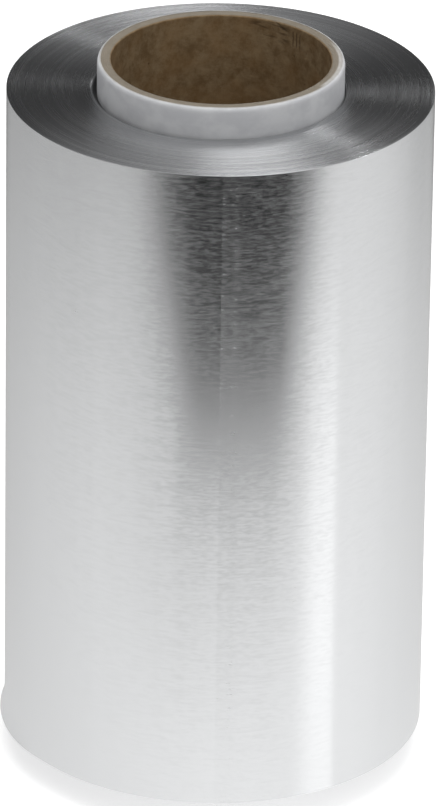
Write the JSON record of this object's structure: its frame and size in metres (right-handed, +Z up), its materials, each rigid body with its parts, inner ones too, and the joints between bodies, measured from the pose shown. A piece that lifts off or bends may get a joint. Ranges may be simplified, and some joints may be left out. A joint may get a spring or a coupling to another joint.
{
  "type": "aluminium foil roll",
  "caption": "Roll of thin aluminium foil wound tight on a paper core, open right through, that stands out of the winding at both ends.",
  "frame": {"origin": "centre of the core's lower end, on the winding axis", "axes": "+Z up along the winding axis; -Y towards the free edge of the last turn, which lies one degree past it; right-handed"},
  "size_m": [0.0739, 0.0739, 0.131],
  "materials": {
    "foil": "satin",
    "kraft_board": "matte",
    "white_paper": "matte"
  },
  "bodies": {
    "root": {"foil_roll": "foil", "core_board": "kraft_board", "core_liner": "white_paper"}
  },
  "joints": []
}
